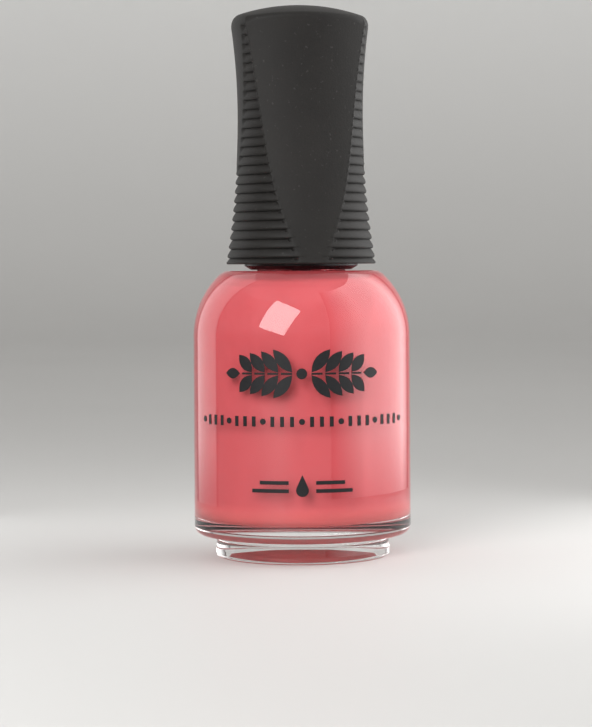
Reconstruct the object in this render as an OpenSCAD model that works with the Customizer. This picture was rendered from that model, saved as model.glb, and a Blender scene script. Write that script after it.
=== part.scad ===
// Nail polish bottle: a round glass bottle on a stepped foot, full of lacquer, with a screw-on brush cap.
// Millimetres, +Z up. The origin is the centre of the ring that the bottle stands on, and the front faces -Y.

/* [Glass bottle] */
// Outside diameter of the glass body
body_d = 33; // [32:0.5:34]
// Height of the shoulder's flat top above the table
shoulder_z = 43.4; // [43:0.2:46]
// Radius of the rounded shoulder
shoulder_arc = 13; // [12.5:0.25:13.5]
// Diameter of the foot
foot_d = 26.6; // [25:0.2:27.4]
// Height of the foot below the heel
foot_h = 3.4; // [3:0.1:4]
// Thickness of the glass wall
wall = 2; // [1.6:0.1:2.4]
// Height of the chamber floor above the table
floor_z = 5.8; // [5.2:0.2:7]

/* [Neck and thread] */
// Height of the neck from the shoulder to the lip
neck_h = 9.2; // [8.8:0.1:10]
// Diameter of the neck under its thread
neck_d = 11.6; // [11.2:0.1:12]
// Diameter over the crest of the neck thread
thread_d = 13; // [12.6:0.1:13.1]
// Rise of the thread in one turn
thread_pitch = 2.12; // [1.8:0.02:2.2]
// Turns of thread on the neck
thread_turns = 1.75; // [1.25:0.25:2]
// Diameter of the mouth
bore_d = 7; // [6:0.2:7.6]

/* [Lacquer] */
// Height of the lacquer's surface above the table
fill_z = 38.3; // [35:0.1:39]
// Diameter of a mixing ball
ball_d = 4; // [3:0.5:5]

/* [Grip] */
// Height of the grip from its rim to its crown
grip_h = 39.5; // [39:0.5:42]
// Diameter at the rim
rim_d = 22.9; // [22.4:0.1:23.4]
// Diameter at the waist
waist_d = 19.14; // [19:0.02:20]
// Height of the waist above the rim
waist_h = 22.7; // [20:0.1:24]
// Diameter that the flare would reach at the height of the crown
crown_d = 22; // [21.4:0.1:22.6]
// Thickness between the front and back panels where the grip is slimmest
panel_gap = 13.8; // [13.6:0.1:15]
// Height above the rim where the grip is slimmest
slim_h = 34; // [32:0.5:35]
// Radius of the arc that a panel follows lengthwise
panel_bend = 124; // [115:1:135]
// Height above the rim below which a panel runs straight
straight_h = 8.5; // [8:0.5:12]
// Radius of each panel's crosswise curve behind the grip's axis
panel_axis = 16; // [14:0.5:20]
// Height of one ridge
ridge_pitch = 1.4; // [1.2:0.05:1.45]
// Depth of the step under each ridge
ridge_depth = 0.45; // [0.2:0.05:0.5]
// Number of ridges above the rim band
ridge_count = 25; // [12:1:25]
// Height of the plain band at the rim
rim_band = 0.9; // [0.6:0.1:1.2]
// Angle that the screwed-down cap is turned to
cap_turn = 9.8; // [0:0.1:20]

/* [Brush] */
// Height of the stem's lower end above the table
stem_end_z = 24; // [22:0.5:28]
// Diameter of the stem's lower end
stem_tip_d = 2.7; // [2.6:0.1:3]
// Height of the bristle tips above the table
bristle_tip_z = 8.6; // [8:0.1:12]
// Diameter of the tuft at its widest
tuft_d = 4.1; // [3:0.1:4.2]

/* [Printed ornament] */
// Height of the sprig's centre above the table
sprig_z = 28.4; // [24:0.2:30]
// Height of the dotted rule above the table
rule_z = 21.4; // [18:0.2:23]
// Height of the lower mark above the table
mark_z = 11.8; // [10:0.2:14]
// Thickness of the ink
ink_t = 0.06; // [0.05:0.01:0.1]

/* [Hidden] */
$fn = 96;

body_r = body_d / 2;
foot_r = foot_d / 2;
neck_r = neck_d / 2;
bore_r = bore_d / 2;
chamber_r = body_r - wall;
lip_z = shoulder_z + neck_h;

foot_edge = 0.7;          // rounding at the foot's lower edge
ring_w = 2.4;             // width of the flat ring that the bottle stands on
punt_h = 1.4;             // depth of the hollow under the foot
heel_r = 1.4;             // rounding between the heel and the side
floor_r = 2.5;            // rounding between the chamber's floor and its wall
shoulder_c = body_r - shoulder_arc;    // distance of the shoulder arc's centre from the axis
shoulder_c_z = shoulder_z - 9.9;       // height of that centre
inner_arc = shoulder_arc - wall;       // radius of the shoulder inside the chamber

bead_r = neck_r + 0.85;                // bead round the root of the neck
lip_edge = 0.5;
mouth_edge = 0.3;
throat = 1.2;                          // rounding between the chamber's ceiling and the bore
thread_z = shoulder_z + 3;             // height where the neck thread starts
thread_gap = 0.07;                     // radial clearance between the two threads
cap_bore_r = neck_r + 1.15;            // bore of the inner cap
skirt_z = shoulder_z + 0.15;           // lower end of the inner cap
skirt_r = 8.65;
skirt_h = 4.7;
skirt_edge = 1;                        // width of the slope round the skirt's lower end
inner_cap_r = 7.6;
washer_t = 0.8;
flange_t = 0.8;
ceiling_t = 1;
washer_top_z = lip_z + washer_t;
ceiling_z = washer_top_z + flange_t;   // underside of the inner cap's ceiling
inner_top_z = ceiling_z + ceiling_t;
inner_cap_edge = 0.5;                  // chamfer round the inner cap's top
boss_r = 2.8;                          // boss round the socket
socket_h = 4.8;                        // depth of the socket that holds the stem's head
stem_head_r = 1.5;
stem_top_r = 1.55;
flange_r = 4.6;
stem_hole_r = 1;                       // blind hole that holds the bristles
stem_hole_h = 3.6;
anchor_w = 1.9;
anchor_t = 0.25;
anchor_h = 1.2;
channel_r = 2.4;                       // free way for the brush through the lacquer

rim_z = shoulder_z + 1;                // height of the grip's rim
grip_side = 1.15;                      // rubber thickness on the sides, to the ridge crests
grip_panel = 0.6;                      // rubber thickness on the panels
grip_top = 1;                          // rubber thickness on the crown
shell_wall = 0.65;                     // wall of the stiff shell under the rubber
shell_top = 1;
corner_r = 1.5;                        // rounding at the grip's upper corners
corner_h = grip_h - 3.2;
dome_across = 30;                      // radius of the crown from side to side
dome_deep = 14.4;                      // radius of the crown from front to back
dome_half = 12.5;
tongue_top = grip_h - 4;               // smooth tongue on each side of the grip: its top,
tongue_tip = 13.8;                     // its lower tip,
tongue_w = 4;                          // and half of its width at the top
profile_step = 2;                      // spacing of the points along the flare

// Points on an arc about (cx, cy)
function arc(cx, cy, r, from, to, steps) =
    [for (i = [0:steps]) let (a = from + (to - from) * i / steps) [cx + r * cos(a), cy + r * sin(a)]];

// Radius of an arc that leaves its tangent by `rise` over `run`
function arc_radius(run, rise) = (run * run + rise * rise) / (2 * rise);

// Distance of that arc from its tangent at d
function bulge(d, r) = r - sqrt(r * r - d * d);

// Radius of the grip's round flare at height h above its rim
function flare(h) = waist_d / 2 + (h < waist_h
    ? bulge(waist_h - h, arc_radius(waist_h, (rim_d - waist_d) / 2))
    : bulge(h - waist_h, arc_radius(grip_h - waist_h, (crown_d - waist_d) / 2)));

// Distance of a panel from the grip's axis at height h: an arc that runs on straight to the rim
function panel(h) = let (d = slim_h - max(h, straight_h))
    panel_gap / 2 + bulge(d, panel_bend)
    + max(straight_h - h, 0) * d / sqrt(panel_bend * panel_bend - d * d);

// A screw ridge swept round the axis from height z, fading out at both ends, as one closed mesh
module screw_ridge(root, crest, z, root_w, crest_w) {
    per_turn = 40;
    fade = 0.12;
    n = round(thread_turns * per_turn);
    side = crest > root ? 1 : -1;
    function size(t) = max(0.05, min(1, t / fade, (1 - t) / fade));
    function section(t) = let (c = root + (crest - root) * size(t))
        [[root, -side * root_w / 2], [c, -side * crest_w / 2], [c, side * crest_w / 2],
         [root, side * root_w / 2]];
    points = [for (i = [0:n]) let (a = 360 * i / per_turn, rise = z + thread_pitch * i / per_turn)
        for (p = section(i / n)) [p[0] * cos(a), p[0] * sin(a), p[1] + rise]];
    skin = [for (i = [0:n - 1], k = [0:3]) let (a = 4 * i + k, b = 4 * i + (k + 1) % 4)
        each [[a, b + 4, a + 4], [a, b, b + 4]]];
    polyhedron(points, concat(skin, [[0, 2, 1], [0, 3, 2]],
        [[4 * n, 4 * n + 1, 4 * n + 2], [4 * n, 4 * n + 2, 4 * n + 3]]));
}

// Inside of the glass, from the middle of the floor out, up the wall and over the shoulder
function chamber_outline() = concat(
    [[0, floor_z]],
    arc(chamber_r - floor_r, floor_z + floor_r, floor_r, -90, 0, 6),
    arc(shoulder_c, shoulder_c_z, inner_arc, 0, 43, 10));

module glass_bottle() {
    punt_r = foot_r - foot_edge - ring_w;
    punt_arc = arc_radius(punt_r, punt_h);
    chamber = chamber_outline();
    outline = concat(
        arc(0, punt_h - punt_arc, punt_arc, 90, 90 - asin(punt_r / punt_arc), 6),
        arc(foot_r - foot_edge, foot_edge, foot_edge, -90, 0, 4),
        [[foot_r - 0.25, foot_h - 0.4], [foot_r - 0.15, foot_h - 0.1], [foot_r + 0.2, foot_h]],
        arc(body_r - heel_r, foot_h + heel_r, heel_r, -90, 0, 6),
        arc(shoulder_c, shoulder_c_z, shoulder_arc, 0, 48, 12),
        [[shoulder_c + 8.5, shoulder_z - 0.08], [shoulder_c + 8.1, shoulder_z]],
        [[bead_r + 0.2, shoulder_z], [bead_r, shoulder_z + 0.2], [bead_r, shoulder_z + 0.9],
         [bead_r - 0.3, shoulder_z + 1.1], [neck_r, shoulder_z + 1.3]],
        arc(neck_r - lip_edge, lip_z - lip_edge, lip_edge, 0, 90, 4),
        arc(bore_r + mouth_edge, lip_z - mouth_edge, mouth_edge, 90, 180, 3),
        arc(bore_r + throat, shoulder_z - 0.5, throat, 180, 270, 4),
        [for (i = [len(chamber) - 1:-1:0]) chamber[i]]);
    color("lightcyan", 0.4) {
        rotate_extrude() polygon(outline);
        screw_ridge(neck_r - 0.2, thread_d / 2, thread_z, 1.5, 0.5);
    }
}

// Everything below fill_z inside the chamber, with a free way for the brush and a bed for each ball
module lacquer() {
    chamber = chamber_outline();
    color([0.86, 0.39, 0.4]) difference() {
        intersection() {
            rotate_extrude() polygon(concat(chamber, [[0, chamber[len(chamber) - 1][1]]]));
            cylinder(r = body_r, h = fill_z);
        }
        translate([0, 0, bristle_tip_z - 0.6]) cylinder(r = channel_r, h = shoulder_z);
        for (side = [0, 1]) ball_place(side) sphere(d = ball_d);
    }
}

// The balls lie on a thin film of lacquer on the chamber's floor
module ball_place(side) {
    rotate([0, 0, 20 + 150 * side])
        translate([8, 0, floor_z + ball_d / 2 + 0.05])
            children();
}

module mixing_ball(side) {
    color("silver") ball_place(side) sphere(d = ball_d);
}

// One mark on the glass, at `along` from the middle of the front, measured round the body
module print_at(along, height) {
    rotate([0, 0, along / body_r * 180 / PI])
        translate([0, 2 - body_r, height])
            rotate([90, 0, 0])
                linear_extrude(3)
                    children();
}

// Keeps only a layer of ink on the body's surface
module ink() {
    color([0.15, 0.15, 0.16]) intersection() {
        union() children();
        difference() {
            cylinder(r = body_r + ink_t, h = shoulder_c_z);
            translate([0, 0, -1]) cylinder(r = body_r, h = shoulder_c_z + 2);
        }
    }
}

// Leaf with pointed ends, from the origin along +X
module leaf(length, width) {
    n = 6;
    upper = [for (i = [0:n]) let (t = i / n) [length * t, 2 * width * t * (1 - t)]];
    lower = [for (i = [n - 1:-1:1]) let (t = i / n) [length * t, -2 * width * t * (1 - t)]];
    polygon(concat(upper, lower));
}

// Two leafy halves that point away from a berry in the middle
module printed_sprig() {
    pairs = 4;
    step = 2.05;
    ink() {
        print_at(0, sprig_z) circle(d = 1.6);
        for (side = [0, 1], i = [0:pairs]) {
            along = (1.4 + step * i) * (side == 0 ? 1 : -1);
            size = 4.4 - 0.35 * i;
            print_at(along, sprig_z) rotate([0, 0, 180 * side]) {
                if (i < pairs) {
                    for (up = [1, -1]) translate([0, 0.2 * up]) rotate([0, 0, 50 * up]) leaf(size, 1.75);
                    translate([0, -0.15]) square([step - 0.4, 0.3]);
                } else {
                    leaf(size - 0.4, 1.6);
                }
            }
        }
    }
}

// Upright dashes and dots in a row round the front
module printed_rule() {
    step = 1.46;
    dash = [0.6, 1.5];
    ink() for (i = [-12:12]) print_at(i * step, rule_z) {
        if (i % 4 == 0) circle(d = 0.9);
        else square(dash, center = true);
    }
}

// A drop between two pairs of short bars
module printed_drop() {
    drop_r = 0.95;
    tip = 2.3;
    lean = acos(drop_r / tip);
    bar_h = 0.56;
    ink() {
        print_at(0, mark_z - 0.4) polygon(concat([[0, tip]], arc(0, 0, drop_r, 90 + lean, 450 - lean, 12)));
        for (side = [-1, 1], row = [0, 1])
            print_at(side * (4.8 - 0.6 * row), mark_z - 0.5 + 1.2 * row)
                square([5.6 - 1.2 * row, bar_h], center = true);
    }
}

// Flat liner that closes the mouth, held in the inner cap round the stem
module sealing_washer() {
    color("white") translate([0, 0, lip_z]) difference() {
        cylinder(r = cap_bore_r - 0.4, h = washer_t);
        translate([0, 0, -1]) cylinder(r = stem_top_r + 0.1, h = washer_t + 2);
    }
}

// Stiff threaded cap with a wider skirt, and a socket on top for the stem's head
module inner_cap() {
    outline = [
        [cap_bore_r + 0.3, skirt_z], [skirt_r - skirt_edge, skirt_z], [skirt_r, skirt_z + 0.6 * skirt_edge],
        [skirt_r, skirt_z + skirt_h - 0.4], [inner_cap_r, skirt_z + skirt_h],
        [inner_cap_r, inner_top_z - inner_cap_edge], [inner_cap_r - inner_cap_edge, inner_top_z],
        [boss_r, inner_top_z], [boss_r, ceiling_z + socket_h + 1], [0, ceiling_z + socket_h + 1],
        [0, ceiling_z + socket_h], [stem_head_r, ceiling_z + socket_h], [stem_head_r, ceiling_z],
        [cap_bore_r, ceiling_z], [cap_bore_r, skirt_z + 0.3]];
    color([0.12, 0.12, 0.12]) {
        rotate_extrude() polygon(outline);
        screw_ridge(cap_bore_r + 0.2, thread_d / 2 + thread_gap, thread_z + thread_pitch / 2, 1.3, 0.4);
    }
}

// Stem with a pressed-in head, a flange under the inner cap's ceiling and a blind hole for the bristles
module brush_stem() {
    head_z = ceiling_z + socket_h;
    hole_z = stem_end_z + stem_hole_h;
    color([0.1, 0.1, 0.1]) rotate_extrude() polygon([
        [0, hole_z], [stem_hole_r, hole_z], [stem_hole_r, stem_end_z], [stem_tip_d / 2, stem_end_z],
        [stem_top_r, washer_top_z - 4], [stem_top_r, washer_top_z],
        [flange_r, washer_top_z], [flange_r, ceiling_z], [stem_head_r, ceiling_z],
        [stem_head_r, head_z], [0, head_z]]);
}

// Flat wire staple that the bristles are folded over, across the stem's hole
module tuft_anchor() {
    color("silver") anchor_bar();
}

module anchor_bar() {
    translate([-anchor_w / 2, -anchor_t / 2, stem_end_z + stem_hole_h - anchor_h - 0.2])
        cube([anchor_w, anchor_t, anchor_h]);
}

// Bristles: a root in the stem's hole, a belly, and a rounded tip
module bristle_tuft() {
    belly_r = tuft_d / 2;
    belly_z = bristle_tip_z + 0.32 * (stem_end_z - bristle_tip_z);
    tip_r = 0.9 * belly_r;
    tip_h = 3;
    tip = [for (i = [0:6]) let (a = 15 * i) [tip_r * cos(a), bristle_tip_z + tip_h * (1 - sin(a))]];
    color([0.14, 0.12, 0.12]) difference() {
        rotate_extrude() polygon(concat(
            [[0, stem_end_z + stem_hole_h], [stem_hole_r, stem_end_z + stem_hole_h],
             [stem_hole_r, stem_end_z], [stem_tip_d / 2 - 0.1, stem_end_z - 0.9], [belly_r, belly_z]],
            tip));
        anchor_bar();
    }
}

// Places a piece of the grip on the bottle, turned as the cap is
module on_rim() {
    translate([0, 0, rim_z]) rotate([0, 0, cap_turn]) children();
}

// Round corner between the flare and the crown, drawn `inset` inside the grip's outside
function upper_corner(inset) = arc(flare(corner_h) - corner_r, corner_h, corner_r - inset, 0, 65, 5);

// Round flare, drawn `inset` inside the grip's outside and starting at height `from`
module round_flare(inset, from) {
    sides = [for (h = [from:profile_step:corner_h]) [flare(h) - inset, h]];
    top = corner_r > inset ? upper_corner(inset) : [[flare(grip_h + 2) - inset, grip_h + 2]];
    rotate_extrude() polygon(concat([[0, from]], sides, top, [[0, grip_h + 6]]));
}

// Round flare with a saw-toothed outline: each ridge is widest at its lower edge
module ridged_flare() {
    edge = [for (i = [0:ridge_count]) rim_band + i * ridge_pitch];
    teeth = [for (i = [0:ridge_count]) each
        [[flare(edge[i]) - (i == 0 ? ridge_depth / 2 : ridge_depth), edge[i]], [flare(edge[i]), edge[i]]]];
    rotate_extrude()
        polygon(concat([[0, 0], [flare(0), 0]], teeth, upper_corner(0), [[0, grip_h + 6]]));
}

// Tongues down the two sides, where the flare stays smooth and a hair prouder than the ridges
module smooth_sides() {
    n = 8;
    edge = [for (i = [-n:n]) let (w = tongue_w * i / n)
        [w, tongue_tip + (tongue_top - tongue_tip) * pow(w / tongue_w, 2)]];
    intersection() {
        round_flare(-0.03, 0);
        rotate([90, 0, 90]) translate([0, 0, -rim_d]) linear_extrude(2 * rim_d)
            polygon(concat(edge, [[tongue_w, grip_h + 6], [-tongue_w, grip_h + 6]]));
    }
}

// Everything in front of (side = -1) or behind (side = 1) the grip's opposite panel
module panel_side(side, inset) {
    low = -2 * profile_step;
    high = grip_h + 2 * profile_step;
    translate([0, -side * panel_axis, 0]) rotate_extrude() polygon(concat([[0, low]],
        [for (h = [low:profile_step:high]) [panel_axis + panel(h) - inset, h]], [[0, high]]));
}

// Everything under the crown, which curves both ways
module under_crown(inset) {
    equator = grip_h - dome_deep;
    line = [for (i = [-8:8]) let (x = dome_half * i / 8) [dome_deep - inset - bulge(x, dome_across), x]];
    translate([0, 0, equator]) rotate([0, 90, 0])
        rotate_extrude() polygon(concat([[0, -dome_half]], line, [[0, dome_half]]));
    translate([-rim_d, -rim_d, -2 * profile_step])
        cube([2 * rim_d, 2 * rim_d, equator + 2 * profile_step]);
}

// The grip's plain form, drawn inside its outside by an inset for the flare, the panels and the crown
module grip_form(side_in, panel_in, top_in, from) {
    intersection() {
        round_flare(side_in, from);
        panel_side(1, panel_in);
        panel_side(-1, panel_in);
        under_crown(top_in);
    }
}

// Fins that hold the shell on the inner cap, three on each side
module shell_fins() {
    fin_t = 0.8;
    low = skirt_z + skirt_h + 0.6 - rim_z;
    high = inner_top_z - inner_cap_edge - 0.3 - rim_z;
    difference() {
        for (side = [0, 180], a = [-35, 0, 35])
            rotate([0, 0, side + a]) translate([inner_cap_r - 1, -fin_t / 2, low])
                cube([rim_d / 2 - inner_cap_r, fin_t, high - low]);
        cylinder(r = inner_cap_r, h = grip_h);
    }
}

// Stiff shell under the rubber, open at the bottom
module overcap_shell() {
    color([0.1, 0.1, 0.1]) on_rim() difference() {
        grip_form(grip_side, grip_panel, grip_top, 0);
        difference() {
            grip_form(grip_side + shell_wall, grip_panel + shell_wall, grip_top + shell_top,
                      -profile_step);
            shell_fins();
        }
    }
}

// Soft skin over the shell: smooth panels and crown, ridged sides with a smooth tongue down each
module rubber_grip() {
    color([0.18, 0.18, 0.17]) on_rim() difference() {
        intersection() {
            union() {
                ridged_flare();
                smooth_sides();
            }
            panel_side(1, 0);
            panel_side(-1, 0);
            under_crown(0);
        }
        grip_form(grip_side, grip_panel, grip_top, -profile_step);
    }
}

glass_bottle();
printed_sprig();
printed_rule();
printed_drop();
lacquer();
mixing_ball(0);  // mixing_ball_1
mixing_ball(1);  // mixing_ball_2
sealing_washer();
inner_cap();
overcap_shell();
rubber_grip();
brush_stem();
tuft_anchor();
bristle_tuft();
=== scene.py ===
"""Looks for the nail polish bottle: glass, lacquer, soft grip, brush, floor, lamps and camera.

Lengths inside the shape functions are millimetres in the row frame; meshes are written in metres.
"""
import math

import bpy
import numpy as np
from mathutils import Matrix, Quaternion, Vector


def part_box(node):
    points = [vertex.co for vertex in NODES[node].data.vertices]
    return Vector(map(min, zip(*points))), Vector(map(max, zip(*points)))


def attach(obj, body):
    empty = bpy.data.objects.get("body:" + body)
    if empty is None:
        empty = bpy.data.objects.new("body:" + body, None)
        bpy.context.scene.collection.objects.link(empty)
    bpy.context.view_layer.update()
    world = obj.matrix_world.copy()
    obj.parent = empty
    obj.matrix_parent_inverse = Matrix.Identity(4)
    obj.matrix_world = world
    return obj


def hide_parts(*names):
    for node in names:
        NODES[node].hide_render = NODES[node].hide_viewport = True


MM = 0.001
TAU = 2 * math.pi

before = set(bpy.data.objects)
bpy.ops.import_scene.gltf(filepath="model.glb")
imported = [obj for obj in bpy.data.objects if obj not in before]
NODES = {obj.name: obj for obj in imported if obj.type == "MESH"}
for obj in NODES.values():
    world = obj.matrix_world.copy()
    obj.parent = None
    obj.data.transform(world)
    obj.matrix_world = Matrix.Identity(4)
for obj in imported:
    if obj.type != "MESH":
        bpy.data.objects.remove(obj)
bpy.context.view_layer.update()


def box_mm(node):
    """Lowest and highest corner of a CAD node, in millimetres."""
    low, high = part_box(node)
    return np.array(low) / MM, np.array(high) / MM


# ---------------------------------------------------------------- sizes, from the frame
GLASS_HIGH = box_mm("glass_bottle")[1]
FILL_LOW, FILL_HIGH = box_mm("lacquer")
GRIP_LOW, GRIP_HIGH = box_mm("rubber_grip")
STEM_LOW, STEM_HIGH = box_mm("brush_stem")
TUFT_LOW, TUFT_HIGH = box_mm("bristle_tuft")
WASHER_HIGH = box_mm("sealing_washer")[1]

BODY_R = GLASS_HIGH[0]
LIP_Z = GLASS_HIGH[2]
CHAMBER_R = FILL_HIGH[0]
FLOOR_Z = FILL_LOW[2]
FILL_Z = FILL_HIGH[2]
RIM_Z = GRIP_LOW[2]
GRIP_H = GRIP_HIGH[2] - RIM_Z
RIM_R = GRIP_HIGH[0]
NECK_H = 9.2                     # neck from the shoulder to the lip
SHOULDER_Z = LIP_Z - NECK_H

# Glass profile
FOOT_R = 13.3
FOOT_H = 3.4
FOOT_EDGE = 0.7
RING_W = 2.4
PUNT_H = 1.4
HEEL_R = 1.4
FLOOR_R = 2.5
SHOULDER_ARC = 13.0
SHOULDER_C = BODY_R - SHOULDER_ARC
SHOULDER_C_Z = SHOULDER_Z - 9.9
INNER_ARC = SHOULDER_ARC - (BODY_R - CHAMBER_R)
NECK_R = 5.8
BEAD_R = 6.65
BORE_R = 3.5
THREAD_R = 6.5
THREAD_PITCH = 2.12
THREAD_TURNS = 1.75
THREAD_Z = SHOULDER_Z + 3

# Grip, heights above its rim
WAIST_R = 9.57
WAIST_H = 22.7
CROWN_R = 11.0
PANEL_HALF = 6.9
SLIM_H = 34.0
PANEL_BEND = 124.0
STRAIGHT_H = 8.5
PANEL_AXIS = 16.0
DOME_ACROSS = 30.0
DOME_DEEP = 14.4
RIDGE_PITCH = 1.4
RIDGE_DEPTH = 0.42
RIDGE_LIP = 0.28                 # share of a ridge taken by its round lower edge
RIDGE_COUNT = 25
RIDGE_PROUD = 0.12               # how far a ridge's rounded end stands above the panel
RIM_BAND = 0.9
RIM_ROUND = 0.28
TONGUE_TOP = GRIP_H - 4
TONGUE_TIP = 13.8
TONGUE_W = 4.0
CAP_TURN = math.radians(9.8)
RUBBER_SIDE = 1.15
RUBBER_PANEL = 0.6
RUBBER_TOP = 1.0


# ---------------------------------------------------------------- small helpers
def arc(cx, cy, r, start, end, steps):
    """Points on an arc, angles in degrees."""
    a = np.radians(np.linspace(start, end, steps + 1))
    return [(cx + r * math.cos(t), cy + r * math.sin(t)) for t in a]


def arc_radius(run, rise):
    """Radius of an arc that leaves its tangent by rise over run."""
    return (run * run + rise * rise) / (2 * rise)


def bulge(d, r):
    """Distance of an arc of radius r from its tangent at d."""
    return r - np.sqrt(np.maximum(r * r - d * d, 0))


def smoothstep(a, b, x):
    t = np.clip((x - a) / (b - a), 0, 1)
    return t * t * (3 - 2 * t)


def smooth_max(a, b, k):
    """The larger of two distances, with a rounding of about k where they meet."""
    return np.maximum(a, b) + np.maximum(k - np.abs(a - b), 0) ** 2 / (4 * k)


def spaced(points, step):
    """The outline's points, with long stretches split so that no piece is longer than step."""
    out = [points[0]]
    for p, q in zip(points, points[1:]):
        n = max(1, math.ceil(math.dist(p, q) / step))
        out += [(p[0] + (q[0] - p[0]) * i / n, p[1] + (q[1] - p[1]) * i / n) for i in range(1, n + 1)]
    return out


def mesh_object(name, verts_mm, faces, sharp=35, material=None):
    mesh = bpy.data.meshes.new(name)
    mesh.from_pydata((np.asarray(verts_mm, float) * MM).tolist(), [], faces)
    mesh.validate()
    mesh.shade_smooth()
    if sharp:
        mesh.set_sharp_from_angle(angle=math.radians(sharp))
    obj = bpy.data.objects.new(name, mesh)
    bpy.context.scene.collection.objects.link(obj)
    if material:
        mesh.materials.append(material)
    return obj


def grid_faces(rows, cols, first=0, flip=False):
    """Quads between rows of points that close on themselves."""
    faces = []
    for i in range(rows - 1):
        a = first + i * cols
        for j in range(cols):
            k = (j + 1) % cols
            q = (a + j, a + k, a + cols + k, a + cols + j)
            faces.append(q[::-1] if flip else q)
    return faces


def fan_faces(centre, first, cols, flip=False):
    faces = []
    for j in range(cols):
        t = (centre, first + j, first + (j + 1) % cols)
        faces.append(t[::-1] if flip else t)
    return faces


def lathe(name, outline, segments, material, shape=None, sharp=35, closed=True):
    """Turns an outline of (r, z) round the axis. An end on the axis closes with a fan.

    shape(r, z, angle) may return changed radii and heights."""
    pts = np.array(outline, float)
    low_pole = pts[0, 0] < 1e-6
    high_pole = pts[-1, 0] < 1e-6
    ring = pts[1 if low_pole else 0:len(pts) - 1 if high_pole else len(pts)]
    angle = np.arange(segments) * TAU / segments
    r = np.repeat(ring[:, :1], segments, 1)
    z = np.repeat(ring[:, 1:], segments, 1)
    if shape:
        r, z = shape(r, z, angle[None, :])
    verts = np.stack([r * np.cos(angle), r * np.sin(angle), z], -1).reshape(-1, 3)
    faces = grid_faces(len(ring), segments)
    n = len(verts)
    extra = []
    if low_pole:
        extra.append((0, 0, pts[0, 1]))
        faces += fan_faces(n, 0, segments, flip=True)
    if high_pole:
        extra.append((0, 0, pts[-1, 1]))
        faces += fan_faces(n + len(extra) - 1, n - segments, segments)
    if extra:
        verts = np.vstack([verts, extra])
    if closed and not low_pole and not high_pole:
        last = (len(ring) - 1) * segments
        faces += [(last + j, last + (j + 1) % segments, (j + 1) % segments, j) for j in range(segments)]
    return mesh_object(name, verts, faces, sharp, material)


# ---------------------------------------------------------------- materials
class Nodes:
    """Short calls for building one node material."""

    def __init__(self, name):
        self.material = bpy.data.materials.new(name)
        self.material.use_nodes = True
        self.tree = self.material.node_tree
        self.bsdf = self.tree.nodes["Principled BSDF"]
        self.coords = self.add("ShaderNodeTexCoord").outputs["Object"]

    def add(self, kind, **values):
        node = self.tree.nodes.new(kind)
        for key, value in values.items():
            if hasattr(node, key):
                setattr(node, key, value)
            else:
                node.inputs[key.replace("_", " ")].default_value = value
        return node

    def link(self, source, target):
        self.tree.links.new(source, target)

    def set(self, **values):
        for key, value in values.items():
            self.bsdf.inputs[key.replace("_", " ")].default_value = value

    def noise(self, scale, detail=3, rough=0.5, stretch=None):
        """Noise in the object's own metres; stretch scales the coordinates on each axis."""
        source = self.coords
        if stretch:
            mapping = self.add("ShaderNodeMapping")
            mapping.inputs["Scale"].default_value = stretch
            self.link(source, mapping.inputs["Vector"])
            source = mapping.outputs["Vector"]
        node = self.add("ShaderNodeTexNoise", Scale=scale, Detail=detail, Roughness=rough)
        self.link(source, node.inputs["Vector"])
        return node.outputs["Fac"]

    def ramp(self, source, *stops):
        node = self.add("ShaderNodeValToRGB")
        ends = node.color_ramp.elements
        while len(ends) < len(stops):
            ends.new(0.5)
        for end, (place, colour) in zip(ends, stops):
            end.position = place
            end.color = colour if hasattr(colour, "__len__") else (colour, colour, colour, 1)
        self.link(source, node.inputs["Fac"])
        return node.outputs["Color"]

    def remap(self, source, low, high, start=0.0, end=1.0):
        node = self.add("ShaderNodeMapRange")
        for key, value in (("From Min", start), ("From Max", end), ("To Min", low), ("To Max", high)):
            node.inputs[key].default_value = value
        self.link(source, node.inputs["Value"])
        return node.outputs["Result"]

    def maths(self, operation, a, b):
        node = self.add("ShaderNodeMath", operation=operation)
        for i, value in enumerate((a, b)):
            if isinstance(value, (int, float)):
                node.inputs[i].default_value = value
            else:
                self.link(value, node.inputs[i])
        return node.outputs["Value"]

    def mix(self, factor, a, b):
        node = self.add("ShaderNodeMix", data_type="RGBA")
        self.link(factor, node.inputs["Factor"])
        for socket, value in ((node.inputs[6], a), (node.inputs[7], b)):
            if hasattr(value, "__len__"):
                socket.default_value = value
            else:
                self.link(value, socket)
        return node.outputs[2]

    def height(self):
        node = self.add("ShaderNodeSeparateXYZ")
        self.link(self.coords, node.inputs["Vector"])
        return node.outputs["Z"]

    def bump(self, *layers):
        """Each layer is (height source, distance in metres, strength)."""
        normal = None
        for source, distance, strength in layers:
            node = self.add("ShaderNodeBump", Strength=strength, Distance=distance)
            self.link(source, node.inputs["Height"])
            if normal:
                self.link(normal, node.inputs["Normal"])
            normal = node.outputs["Normal"]
        self.link(normal, self.bsdf.inputs["Normal"])

    def to(self, source, socket):
        self.link(source, self.bsdf.inputs[socket])


def glass_material():
    m = Nodes("clear_glass")
    m.set(Base_Color=(0.985, 0.992, 0.988, 1), Roughness=0.0, IOR=1.5, Transmission_Weight=1.0)
    ripple = m.noise(90, 2, 0.4, (1, 1, 0.55))
    m.bump((ripple, 0.00012, 0.22))
    return m.material


LACQUER_DEEP = (0.365, 0.048, 0.056, 1)
LACQUER_MID = (0.40, 0.058, 0.067, 1)
LACQUER_PALE = (0.44, 0.071, 0.080, 1)
LACQUER_PAINTED_UNDERLIGHT = (0.66, 0.125, 0.122, 1)      # painted light: paler lacquer where light coming up through the thick glass floor would reach it


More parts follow.
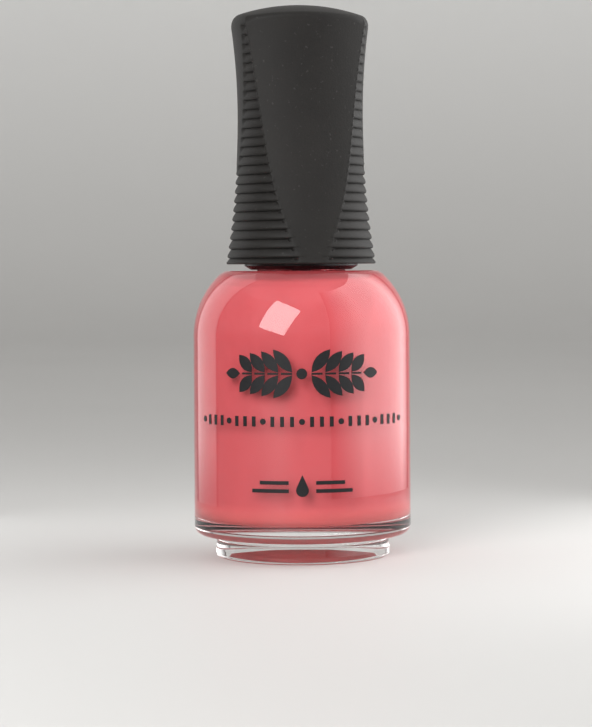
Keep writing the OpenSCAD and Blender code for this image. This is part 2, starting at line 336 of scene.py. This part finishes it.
def lacquer_material():
    """Opaque cream lacquer: pigment lies in faint upright drifts; near the glass floor it is made paler with
    painted light.
    """
    m = Nodes("coral_lacquer")
    m.set(Roughness=0.45, Specular_IOR_Level=0.08, Subsurface_Weight=0.12, Subsurface_Scale=0.0012)
    m.bsdf.inputs["Subsurface Radius"].default_value = (1.0, 0.35, 0.3)
    drift = m.noise(60, 4, 0.6, (1, 1, 0.28))
    grain = m.noise(1400, 2, 0.5)
    both = m.maths("ADD", m.maths("MULTIPLY", drift, 0.85), m.maths("MULTIPLY", grain, 0.15))
    cream = m.ramp(both, (0.3, LACQUER_DEEP), (0.52, LACQUER_MID), (0.75, LACQUER_PALE))
    # painted light: the colour turns paler over the lowest 3.2 mm, standing in for light coming up through
    # the glass floor
    low = m.remap(m.height(), 0.85, 0.0, FLOOR_Z * MM, (FLOOR_Z + 3.2) * MM)
    m.to(m.mix(low, cream, LACQUER_PAINTED_UNDERLIGHT), "Base Color")
    return m.material


def wet_lacquer_material():
    """The same lacquer where it meets air, on the brush."""
    m = Nodes("wet_lacquer")
    m.set(Specular_IOR_Level=0.5, Coat_Weight=0.6, Coat_Roughness=0.04)
    drift = m.noise(700, 3, 0.6, (1, 1, 0.15))
    m.to(m.ramp(drift, (0.25, LACQUER_DEEP), (0.5, LACQUER_MID), (0.8, LACQUER_PALE)), "Base Color")
    m.to(m.remap(drift, 0.12, 0.26), "Roughness")
    m.bump((drift, 0.00012, 0.5))
    return m.material


def ink_material():
    m = Nodes("black_ink")
    m.set(Specular_IOR_Level=0.22)
    mottle = m.noise(2600, 3, 0.6)
    m.to(m.ramp(mottle, (0.3, (0.006, 0.006, 0.007, 1)), (0.75, (0.012, 0.012, 0.0135, 1))), "Base Color")
    m.to(m.remap(mottle, 0.38, 0.58), "Roughness")
    m.bump((m.noise(5200, 2, 0.5), 0.00002, 0.35))
    return m.material


def rubber_material():
    """Soft-touch rubber: very fine grain, faint cloudiness, a faint even sheen, a little lint."""
    m = Nodes("grip_rubber")
    m.set(Specular_IOR_Level=0.22, Sheen_Weight=0.03, Sheen_Roughness=0.4)
    m.bsdf.inputs["Sheen Tint"].default_value = (0.9, 0.88, 0.84, 1)
    cloud = m.noise(110, 4, 0.55)
    grain = m.noise(3800, 3, 0.6)
    lint = m.noise(2100, 1, 0.4)
    tone = m.maths("ADD", m.maths("MULTIPLY", cloud, 0.6), m.maths("MULTIPLY", grain, 0.4))
    base = m.ramp(tone, (0.32, (0.0044, 0.0038, 0.0033, 1)), (0.7, (0.0104, 0.0091, 0.0080, 1)))
    specks = m.ramp(lint, (0.70, 0.0), (0.78, 0.22))
    m.to(m.mix(specks, base, (0.075, 0.072, 0.068, 1)), "Base Color")
    m.to(m.remap(tone, 0.5, 0.68), "Roughness")
    m.bump((grain, 0.00006, 0.4), (m.noise(900, 2, 0.5), 0.00008, 0.18))
    return m.material


def moulded_material(name, colour, low, high, gloss=0.5, tint=1.5):
    """Moulded plastic with a fine grain, tone drift and faint turned lines."""
    m = Nodes(name)
    m.set(Specular_IOR_Level=gloss)
    drift = m.noise(240, 3, 0.5)
    pale = tuple(min(1, c * tint) for c in colour[:3]) + (1,)
    m.to(m.ramp(drift, (0.3, colour), (0.75, pale)), "Base Color")
    m.to(m.remap(drift, low, high), "Roughness")
    m.bump((m.noise(2400, 2, 0.5), 0.00003, 0.4), (m.noise(180, 1, 0.4, (1, 1, 14)), 0.00003, 0.25))
    return m.material


def liner_material():
    """Closed-cell foam liner with fine pores."""
    m = Nodes("liner_foam")
    pores = m.add("ShaderNodeTexVoronoi", Scale=5200.0)
    m.link(m.coords, pores.inputs["Vector"])
    distance = pores.outputs["Distance"]
    m.to(m.ramp(distance, (0.0, (0.62, 0.6, 0.55, 1)), (0.5, (0.8, 0.79, 0.75, 1))), "Base Color")
    m.set(Roughness=0.62)
    m.bump((distance, 0.00005, 0.5))
    return m.material


def steel_material(name, low, high, stretch=None):
    m = Nodes(name)
    m.set(Metallic=1.0)
    wear = m.noise(1500, 3, 0.6, stretch)
    m.to(m.ramp(wear, (0.3, (0.5, 0.5, 0.5, 1)), (0.7, (0.7, 0.69, 0.68, 1))), "Base Color")
    m.to(m.remap(wear, low, high), "Roughness")
    m.bump((wear, 0.00001, 0.3))
    return m.material


def stem_material():
    """Black stem, with a film of lacquer as high as it was dipped."""
    m = Nodes("stem_black")
    streak = m.noise(900, 3, 0.6, (1, 1, 0.08))
    wave = m.maths("MULTIPLY", m.noise(420, 2, 0.5), 0.0016)
    level = m.maths("ADD", m.height(), wave)
    dipped = m.remap(level, 1.0, 0.0, (FILL_Z - 0.3) * MM, (FILL_Z + 0.7) * MM)
    film = m.ramp(streak, (0.2, LACQUER_DEEP), (0.45, LACQUER_MID), (0.8, LACQUER_PALE))
    m.to(m.mix(dipped, (0.012, 0.012, 0.013, 1), film), "Base Color")
    m.to(m.remap(streak, 0.14, 0.3), "Roughness")
    m.set(Specular_IOR_Level=0.5)
    m.bump((streak, 0.00006, 0.4))
    return m.material


def bristle_material():
    """Dark nylon, wet with lacquer almost up to the stem."""
    m = Nodes("bristle_black")
    streak = m.noise(2600, 2, 0.5, (1, 1, 0.06))
    stem_end = STEM_LOW[2]
    wet = m.remap(m.height(), 0.93, 0.55, (stem_end - 3.0) * MM, stem_end * MM)
    wet = m.maths("MULTIPLY", wet, m.remap(streak, 0.8, 1.1))
    film = m.ramp(streak, (0.3, LACQUER_DEEP), (0.7, LACQUER_PALE))
    m.to(m.mix(wet, (0.02, 0.017, 0.016, 1), film), "Base Color")
    m.to(m.remap(streak, 0.16, 0.3), "Roughness")
    m.bump((streak, 0.00004, 0.4))
    return m.material


# ---------------------------------------------------------------- glass and lacquer
def chamber_outline(grow=0.0):
    """Inside of the glass from the floor's centre up to the bore, moved `grow` into the glass."""
    g = grow
    return (
        [(0, FLOOR_Z - g)]
        + arc(CHAMBER_R - FLOOR_R, FLOOR_Z + FLOOR_R, FLOOR_R + g, -90, 0, 10)
        + arc(SHOULDER_C, SHOULDER_C_Z, INNER_ARC + g, 0, 40, 24)
        + arc(SHOULDER_C + 6.6, SHOULDER_C_Z + 5.65, 2.15 + g, 48, 90, 6)
        + arc(BORE_R + 1.2, SHOULDER_Z - 0.5, 1.2 - g, 270, 180, 8)
    )


def glass_waves(r, z, angle):
    """Slow unevenness on the inside of the glass, strongest in the floor and none at the bore."""
    side = smoothstep(BORE_R + 2, CHAMBER_R, r) * 0.05
    r = r + side * (np.sin(2 * angle + 0.6) + 0.6 * np.sin(3 * angle + z * 0.21))
    floor = 1 - smoothstep(FLOOR_Z + 0.4, FLOOR_Z + FLOOR_R, z)
    out = r / CHAMBER_R
    tilt = 0.1 * np.sin(angle + 0.9) * out + 0.07 * np.sin(2 * angle + 2.2) * out ** 2
    return r, z + floor * tilt


def glass_outer():
    punt_r = FOOT_R - FOOT_EDGE - RING_W
    punt_arc = arc_radius(punt_r, PUNT_H)
    edge = math.degrees(math.asin(punt_r / punt_arc))
    return (
        [(0, PUNT_H)]
        + arc(0, PUNT_H - punt_arc, punt_arc, 90 - edge / 14, 90 - edge * 0.97, 14)
        + [(punt_r + 0.12, 0.03), (punt_r + 0.4, 0.0)]
        + arc(FOOT_R - FOOT_EDGE, FOOT_EDGE, FOOT_EDGE, -90, 0, 8)
        + [(FOOT_R - 0.1, 1.7), (FOOT_R - 0.22, FOOT_H - 0.55)]
        + arc(FOOT_R + 0.13, FOOT_H - 0.37, 0.35, 190, 90, 6)
        + [(FOOT_R + 1.0, FOOT_H + 0.01)]
        + arc(BODY_R - HEEL_R, FOOT_H + HEEL_R, HEEL_R, -86, 0, 12)
        + arc(SHOULDER_C, SHOULDER_C_Z, SHOULDER_ARC, 0, 47, 40)
        + arc(SHOULDER_C + 7.95, SHOULDER_Z - 0.9, 0.9, 50, 90, 5)
        + [(BEAD_R + 0.45, SHOULDER_Z)]
        + arc(BEAD_R + 0.2, SHOULDER_Z + 0.2, 0.2, 270, 180, 4)
        + arc(BEAD_R - 0.3, SHOULDER_Z + 0.8, 0.3, 0, 80, 5)
        + arc(NECK_R + 0.2, SHOULDER_Z + 1.3, 0.2, 260, 180, 4)
        + arc(NECK_R - 0.5, LIP_Z - 0.5, 0.5, 0, 90, 8)
        + arc(BORE_R + 0.3, LIP_Z - 0.3, 0.3, 90, 180, 5)
    )


def neck_thread(r, z, angle):
    """Raises one helical ridge on the neck, with run-outs at both ends."""
    turns_here = (z - THREAD_Z) / THREAD_PITCH - angle / TAU
    turn = np.round(turns_here)
    along = turn + angle / TAU
    along = np.where(np.abs(r - NECK_R) < 0.02, along, -9)
    off = (turns_here - turn) * THREAD_PITCH
    fade = smoothstep(-0.02, 0.18, along) * (1 - smoothstep(THREAD_TURNS - 0.18, THREAD_TURNS + 0.02, along))
    ridge = 1 - smoothstep(0.16, 0.74, np.abs(off))
    return r + (THREAD_R - NECK_R) * ridge * fade


def build_glass(material):
    outer = spaced(glass_outer(), 0.9)
    neck_low = SHOULDER_Z + 1.5
    outer = [p for p in outer if not (abs(p[0] - NECK_R) < 0.02 and neck_low < p[1] < LIP_Z - 0.55)]
    at = next(i for i, p in enumerate(outer) if abs(p[0] - NECK_R) < 0.05 and p[1] > LIP_Z - 0.56)
    neck = [(NECK_R, z) for z in np.arange(neck_low, LIP_Z - 0.6, 0.11)]
    outer = outer[:at] + neck + outer[at:]
    inner = spaced(chamber_outline()[::-1], 0.9)
    outline = outer + [p for p in inner if p[1] < LIP_Z - 0.3]
    split = len(outer) - 1           # the first row is a pole, so rings start one later

    def shape(r, z, angle):
        outside = np.arange(len(r))[:, None] < split
        raised = neck_thread(r, z, angle)
        wavy_r, wavy_z = glass_waves(r, z, angle)
        return np.where(outside, raised, wavy_r), np.where(outside, z, wavy_z)

    return lathe("clear_glass_bottle", outline, 216, material, shape)


def build_lacquer(material):
    """Fills the chamber to its level, with a film above it on the shoulder where it was shaken."""
    overlap = 0.02                   # wets the glass: the two surfaces are in optical contact
    film = 0.28
    channel = 2.4
    film_r = BORE_R + 2.2            # the film ends here on the chamber's ceiling
    film_z = SHOULDER_Z - 1.77
    bottom = TUFT_LOW[2] - 0.6
    wall = [p for p in chamber_outline(overlap) if p[0] > film_r or p[1] < FILL_Z]
    wall.append((film_r, film_z + overlap))
    skin = [p for p in chamber_outline(-film) if p[0] > film_r and p[1] > FILL_Z + 0.35]
    level_r = SHOULDER_C + math.sqrt((INNER_ARC - film) ** 2 - (FILL_Z - SHOULDER_C_Z) ** 2)
    surface = [(level_r - 0.25, FILL_Z + 0.12), (level_r - 0.7, FILL_Z + 0.02), (channel + 0.8, FILL_Z),
               (channel + 0.25, FILL_Z + 0.05), (channel, FILL_Z + 0.2)]
    well = [(channel, bottom + 0.3), (channel - 0.3, bottom), (0, bottom)]
    outline = spaced(wall, 0.9) + spaced([(film_r, film_z - film)] + skin[::-1] + surface, 0.9) + well

    def shape(r, z, angle):
        """Follows the glass where they touch, and is calm in the middle."""
        wavy_r, wavy_z = glass_waves(r, z, angle)
        touches = (r > channel + 0.9) | (z < FLOOR_Z + 1)
        return np.where(touches, wavy_r, r), np.where(touches, wavy_z, z)

    return lathe("coral_lacquer_fill", outline, 144, material, shape)


# ---------------------------------------------------------------- soft grip
def flare(h):
    low = bulge(WAIST_H - h, arc_radius(WAIST_H, RIM_R - WAIST_R))
    high = bulge(h - WAIST_H, arc_radius(GRIP_H - WAIST_H, CROWN_R - WAIST_R))
    return WAIST_R + np.where(h < WAIST_H, low, high)


def panel(h):
    """Distance of a panel from the grip's axis: an arc that runs on straight to the rim."""
    d = SLIM_H - np.maximum(h, STRAIGHT_H)
    slope = d / np.sqrt(PANEL_BEND ** 2 - d * d)
    return PANEL_HALF + bulge(d, PANEL_BEND) + np.maximum(STRAIGHT_H - h, 0) * slope


def ridge_step(h):
    """Depth below the crests: round at each ridge's lower edge, then sloping in."""
    count = (h - RIM_BAND) / RIDGE_PITCH
    t = count - np.floor(count)
    lower = np.maximum(RIDGE_LIP - t, 0) / RIDGE_LIP
    lip = 1 - np.sqrt(1 - lower ** 2)
    slope = (np.maximum(t - RIDGE_LIP, 0) / (1 - RIDGE_LIP)) ** 1.45
    band = np.clip((h - RIM_ROUND) / (RIM_BAND - RIM_ROUND), 0, 1)
    above = np.where(count < RIDGE_COUNT + 1, lip, 0)
    ridges = np.where(count < RIDGE_COUNT, np.maximum(lip, slope), above)
    return RIDGE_DEPTH * np.where(count < 0, band, ridges)


def tongue_mask(x, y, h):
    """0 on the smooth tongue down each side, 1 away from it."""
    rise = np.maximum((h - TONGUE_TIP) / (TONGUE_TOP - TONGUE_TIP), 0)
    half = TONGUE_W * np.sqrt(rise)
    return np.where(h < TONGUE_TIP, 1, smoothstep(half - 0.25, half + 0.4, np.abs(y)))


def grip_distance(x, y, h, inset):
    """Below 0 inside the grip. inset is (side, panel, top, ridged)."""
    side, flat, top, ridged = inset
    rim_lift = np.maximum(RIM_ROUND - h, 0) * ridged
    rim_in = RIM_ROUND - np.sqrt(RIM_ROUND ** 2 - rim_lift ** 2)
    crest = np.hypot(x, y) - (flare(h) - side - rim_in)
    reach = PANEL_AXIS + panel(h) - flat
    panels = np.maximum(np.hypot(x, y - PANEL_AXIS), np.hypot(x, y + PANEL_AXIS)) - reach
    step = ridge_step(h) * tongue_mask(x, y, h) * ridged
    edge = ridged * (RIDGE_PROUD - 0.2 * step / RIDGE_DEPTH)
    on_panel = smoothstep(edge - 0.045, edge + 0.045, panels - crest)
    body = crest + step + on_panel * (panels - crest - step)
    equator = GRIP_H - DOME_DEEP
    crown = np.hypot(y, np.maximum(h - equator, 0)) - (DOME_DEEP - top - bulge(x, DOME_ACROSS))
    corner = 0.5 + 1.3 * smoothstep(PANEL_HALF, CROWN_R, np.abs(x))
    return smooth_max(body, crown, corner)


def cast(origin_h, direction, inset):
    """Where rays from the grip's axis leave it. direction is (x, y, h) per ray."""
    low = np.zeros(direction.shape[:-1])
    high = np.full(direction.shape[:-1], 16.0)
    for _ in range(36):
        mid = (low + high) / 2
        p = direction * mid[..., None]
        outside = grip_distance(p[..., 0], p[..., 1], origin_h + p[..., 2], inset) > 0
        low, high = np.where(outside, low, mid), np.where(outside, mid, high)
    p = direction * low[..., None]
    p[..., 2] += origin_h
    return p


def grip_angles(h, per_quarter):
    """Directions round the grip at one height, closest together where the panels meet the sides."""
    ring = flare(h)
    reach = PANEL_AXIS + panel(h)
    cosine = (reach ** 2 - ring ** 2 - PANEL_AXIS ** 2) / (2 * ring * PANEL_AXIS)
    edge = np.clip(np.arccos(np.clip(cosine, -1, 1)), math.radians(9), math.radians(66))
    near = math.radians(6)
    quarter = np.interp(np.linspace(0, 1, per_quarter, endpoint=False),
                        [0, 0.22, 0.62, 1.0], [0, edge - near, edge + near, math.pi / 2])
    half = np.concatenate([quarter, math.pi - np.concatenate([[math.pi / 2], quarter[:0:-1]])])
    return np.concatenate([half, half + math.pi]) - math.pi / 2


def grip_surface(heights, fan, per_quarter, inset):
    """Rows of points: level rows at the given heights, then rows that close over the crown."""
    level = []
    for h in heights:
        a = grip_angles(h, per_quarter)
        level.append(cast(h, np.stack([np.cos(a), np.sin(a), 0 * a], -1), inset))
    top = heights[-1]
    a = grip_angles(top, per_quarter)
    crown = []
    for t in (np.arange(1, fan) / fan) ** 1.7 * math.pi / 2:
        ray = np.stack([np.cos(a) * math.cos(t), np.sin(a) * math.cos(t), 0 * a + math.sin(t)], -1)
        crown.append(cast(top, ray, inset))
    pole = cast(top, np.array([[0.0, 0.0, 1.0]]), inset)
    return np.array(level + crown), pole[0]


def grip_heights():
    """Heights of the level rows: several on each ridge, where its outline bends."""
    lip = [0, 0.015, 0.05, 0.11, 0.19, RIDGE_LIP]
    rim = [0.0, 0.03, 0.09, 0.18, RIM_ROUND, 0.6]
    slope = [0.5, 0.74, 0.965]
    ridges = [RIM_BAND + RIDGE_PITCH * (i + t) for i in range(RIDGE_COUNT) for t in lip + slope]
    return rim + ridges + [RIM_BAND + RIDGE_PITCH * (RIDGE_COUNT + t) for t in lip]


def build_grip(material):
    per_quarter = 78
    cols = 4 * per_quarter
    outer, outer_pole = grip_surface(grip_heights(), 48, per_quarter, (0, 0, 0, 1))
    inner_rows = list(np.linspace(0, GRIP_H - 6, 9))
    inside = (RUBBER_SIDE, RUBBER_PANEL, RUBBER_TOP, 0)
    inner, inner_pole = grip_surface(inner_rows, 10, per_quarter, inside)
    verts = np.vstack([outer.reshape(-1, 3), inner.reshape(-1, 3), [outer_pole, inner_pole]])
    n_out, n_in = len(outer) * cols, len(inner) * cols
    faces = grid_faces(len(outer), cols) + fan_faces(n_out + n_in, n_out - cols, cols)
    faces += grid_faces(len(inner), cols, n_out, flip=True)
    faces += fan_faces(n_out + n_in + 1, n_out + n_in - cols, cols, flip=True)
    faces += [(j, n_out + j, n_out + (j + 1) % cols, (j + 1) % cols) for j in range(cols)]
    turn = np.array([[math.cos(CAP_TURN), math.sin(CAP_TURN)], [-math.sin(CAP_TURN), math.cos(CAP_TURN)]])
    verts[:, :2] = verts[:, :2] @ turn
    verts[:, 2] += RIM_Z
    return mesh_object("soft_ridged_grip", verts, faces, 40, material)


# ---------------------------------------------------------------- brush
def build_stem(material):
    head_low, tip_r, top_r, flange_r, head_r = STEM_HIGH[2] - 4.8, 1.35, 1.55, STEM_HIGH[0], 1.5
    flange_low, end = WASHER_HIGH[2], STEM_LOW[2]
    hole_r, hole_z = 1.0, TUFT_HIGH[2]
    outline = (
        [(0, hole_z), (hole_r, hole_z), (hole_r, end + 0.12)]
        + arc(hole_r + 0.12, end + 0.12, 0.12, 180, 270, 3)
        + arc(tip_r - 0.12, end + 0.12, 0.12, 270, 360, 4)
        + [(top_r, flange_low - 4), (top_r, flange_low - 0.15), (top_r + 0.15, flange_low)]
        + [(flange_r - 0.15, flange_low), (flange_r, flange_low + 0.15), (flange_r, head_low - 0.15),
           (flange_r - 0.15, head_low), (head_r, head_low), (head_r, STEM_HIGH[2] - 0.3),
           (head_r - 0.3, STEM_HIGH[2]), (0, STEM_HIGH[2])]
    )
    return lathe("brush_stem_moulded", spaced(outline, 0.8), 48, material)


def build_bristles(material):
    """Each filament is a thin tube that swells out of the stem's hole and gathers at the tip."""
    rings, rounds, sides = 15, 14, 5
    root_z, tip_z = STEM_LOW[2] + 0.5, TUFT_LOW[2]
    root_r, belly_r, fibre = 0.9, TUFT_HIGH[0] - 0.09, 0.062
    rng = np.random.default_rng(11)
    t = np.linspace(0, 1, rings)
    widths = [root_r, root_r, 1.45, belly_r, belly_r * 0.93, belly_r * 0.8]
    swell = np.interp(t, [0, 0.05, 0.3, 0.68, 0.86, 1.0], widths)
    verts, faces = [], []
    for ring in range(rounds):
        spread = (ring + 0.5) / rounds
        count = max(1, int(TAU * spread * 7.6))
        for k in range(count):
            a0 = TAU * (k + 0.5 * (ring % 2)) / count + rng.normal(0, 0.03)
            share = min(1.0, spread + rng.normal(0, 0.012))
            end = tip_z + 2.9 * (1 - math.sqrt(max(0, 1 - share ** 2))) + abs(rng.normal(0, 0.16))
            z = root_z + (end - root_z) * t
            sway = rng.normal(0, 0.05, 2)
            r = swell * share
            x = r * np.cos(a0) + sway[0] * t ** 2
            y = r * np.sin(a0) + sway[1] * t ** 2
            limit = np.minimum(1, belly_r / np.maximum(np.hypot(x, y), 1e-6))
            x, y = x * limit, y * limit
            first = len(verts)
            for i in range(rings):
                thick = fibre * (1 - 0.55 * smoothstep(0.8, 1.0, t[i]))
                for s in range(sides):
                    b = TAU * s / sides
                    verts.append((x[i] + thick * math.cos(b), y[i] + thick * math.sin(b), z[i]))
            faces += grid_faces(rings, sides, first, flip=True)
            last = first + (rings - 1) * sides
            faces.append(tuple(first + s for s in range(sides)))
            faces.append(tuple(last + s for s in reversed(range(sides))))
    return mesh_object("bristle_filaments", verts, faces, 60, material)


def build_wet_core(material):
    """Lacquer held between the bristles, up to a little below the stem's end."""
    low, high = TUFT_LOW[2] + 0.12, STEM_LOW[2] - 1.2
    span = high - low
    belly = TUFT_HIGH[0] - 0.2
    tip = [(belly * 0.86 * math.sin(a), low + 2.9 * (1 - math.cos(a)))
           for a in np.linspace(0.15, math.pi / 2, 12)]
    sides = [(belly, low + span * 0.32), (belly * 0.93, low + span * 0.5), (1.15, high - 1.0)]
    outline = [(0, low)] + tip + sides + [(0.9, high), (0, high + 0.2)]

    def shape(r, z, angle):
        comb = 0.035 * np.sin(23 * angle + z * 0.4) + 0.03 * np.sin(9 * angle - z * 0.7)
        return r * (1 + comb * smoothstep(0.3, 1.5, r)), z

    return lathe("lacquer_in_bristles", spaced(outline, 0.35), 96, material, shape)


# ---------------------------------------------------------------- stage, lamps and camera
def build_stage():
    """A pale floor that curves up into a backdrop all round, open to the sky above."""
    m = Nodes("pale_floor")
    m.set(Specular_IOR_Level=0.2)
    cloud = m.noise(3.2, 3, 0.5)
    floor_tone = m.ramp(cloud, (0.3, (0.485, 0.48, 0.47, 1)), (0.7, (0.515, 0.51, 0.50, 1)))
    m.to(m.mix(m.remap(m.height(), 0.0, 1.0, 0.0, 0.25), floor_tone, (0.84, 0.84, 0.83, 1)), "Base Color")
    m.to(m.remap(cloud, 0.5, 0.6), "Roughness")
    m.bump((m.noise(900, 2, 0.5), 0.00005, 0.12))
    flat, bend, high = 900, 550, 1500
    path = [(0, 0), (60, 0), (300, 0)] + arc(flat, bend, bend, -90, 0, 14) + [(flat + bend, high)]
    sweep = lathe("pale_sweep", path, 72, m.material, sharp=0, closed=False)


def softbox(name, place, target, width, height, glow, spin=0.0):
    """A rectangular lamp whose face has the brightness glow."""
    lamp = bpy.data.lights.new(name, "AREA")
    lamp.shape = "RECTANGLE"
    lamp.size, lamp.size_y = width, height
    lamp.energy = glow * math.pi * width * height
    obj = bpy.data.objects.new(name, lamp)
    bpy.context.scene.collection.objects.link(obj)
    place, target = Vector(place), Vector(target)
    turn = (target - place).to_track_quat("-Z", "Y")
    obj.rotation_euler = (turn @ Quaternion((0, 0, 1), math.radians(spin))).to_euler()
    obj.location = place
    obj.visible_camera = False
    return obj


def polar(azimuth, distance, height):
    """A place seen from the bottle: azimuth 0 is towards the camera, positive to the right."""
    a = math.radians(azimuth)
    return (distance * math.sin(a), -distance * math.cos(a), height)


def lit_screen(name, start, end, distance, height, glow, fade_in, fade_out):
    """A curved glowing screen on the floor. Its light fades at both ends and towards the floor."""
    angles = np.linspace(start, end, 40)
    heights = (0.5, height)
    verts = [polar(a, distance, z) for z in heights for a in angles]
    cols = len(angles)
    faces = [(j + 1, j, cols + j, cols + j + 1) for j in range(cols - 1)]
    m = Nodes(name)
    place = m.add("ShaderNodeSeparateXYZ")
    m.link(m.coords, place.inputs["Vector"])
    azimuth = m.maths("ARCTAN2", place.outputs["X"], m.maths("MULTIPLY", place.outputs["Y"], -1.0))
    along = m.remap(azimuth, 0.0, 1.0, math.radians(start), math.radians(end))
    span = end - start
    light = m.ramp(along, (0.0, 0.0), (fade_in / span, 1.0), (1 - fade_out / span, 1.0), (1.0, 0.0))
    low = m.remap(place.outputs["Z"], 0.45, 1.0, 0.0, 0.012)
    emission = m.add("ShaderNodeEmission")
    m.link(m.maths("MULTIPLY", m.maths("MULTIPLY", light, low), glow), emission.inputs["Strength"])
    m.link(emission.outputs["Emission"], m.tree.nodes["Material Output"].inputs["Surface"])
    screen = mesh_object(name, verts, faces, 0, m.material)
    screen.visible_camera = False
    screen.visible_shadow = False


def build_lamps():
    """A broad screen on the right, a slim one on the left, a square lamp high in front, and the sky."""
    lit_screen("right_screen", 28, 144, 108, 200, 3.5, 38, 20)
    lit_screen("left_screen", -138, -92, 85, 170, 1.7, 6, 4)
    softbox("front_square", polar(-25, 0.37, 0.205), (0, 0, 0.042), 0.22, 0.275, 8.6, spin=-22)
    world = bpy.data.worlds.new("studio")
    world.use_nodes = True
    background = world.node_tree.nodes["Background"]
    background.inputs["Color"].default_value = (1.0, 0.99, 0.98, 1)
    background.inputs["Strength"].default_value = 0.9
    bpy.context.scene.world = world


def build_camera():
    """A level camera with a rising shift, at the height of the shoulder."""
    camera = bpy.data.cameras.new("camera")
    camera.sensor_width = 36.0
    camera.lens = 113.7
    camera.shift_x = -0.007
    camera.shift_y = -0.1396
    camera.clip_start = 0.01
    obj = bpy.data.objects.new("camera", camera)
    obj.location = (0, -0.351, 0.0447)
    obj.rotation_euler = (math.pi / 2, math.radians(0.35), 0)
    bpy.context.scene.collection.objects.link(obj)
    bpy.context.scene.camera = obj


def build_object():
    bottle, cap = [], []
    glass = build_glass(glass_material())
    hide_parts("glass_bottle")
    glass.visible_shadow = False
    lacquer = build_lacquer(lacquer_material())
    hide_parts("lacquer")
    bottle += [glass, lacquer]

    grip = build_grip(rubber_material())
    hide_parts("rubber_grip")
    stem = build_stem(stem_material())
    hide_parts("brush_stem")
    bristles = build_bristles(bristle_material())
    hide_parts("bristle_tuft")
    core = build_wet_core(wet_lacquer_material())
    cap += [grip, stem, bristles, core]

    for obj in bottle:
        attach(obj, "bottle")
    for obj in cap:
        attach(obj, "cap")

    cap_black = (0.006, 0.006, 0.0065, 1)
    shell_black = (0.014, 0.014, 0.014, 1)
    finishes = {
        ink_material(): ["printed_sprig", "printed_rule", "printed_drop"],
        moulded_material("inner_cap_black", cap_black, 0.22, 0.34, gloss=0.2): ["inner_cap"],
        moulded_material("shell_black", shell_black, 0.45, 0.6): ["overcap_shell"],
        liner_material(): ["sealing_washer"],
        steel_material("steel_ball", 0.06, 0.16): ["mixing_ball_1", "mixing_ball_2"],
        steel_material("anchor_steel", 0.22, 0.4, (12, 1, 1)): ["tuft_anchor"],
    }
    for material, names in finishes.items():
        for name in names:
            mesh = NODES[name].data
            mesh.materials.clear()
            mesh.materials.append(material)


bpy.context.scene.view_settings.view_transform = "Standard"
build_stage()
build_lamps()
build_camera()
build_object()
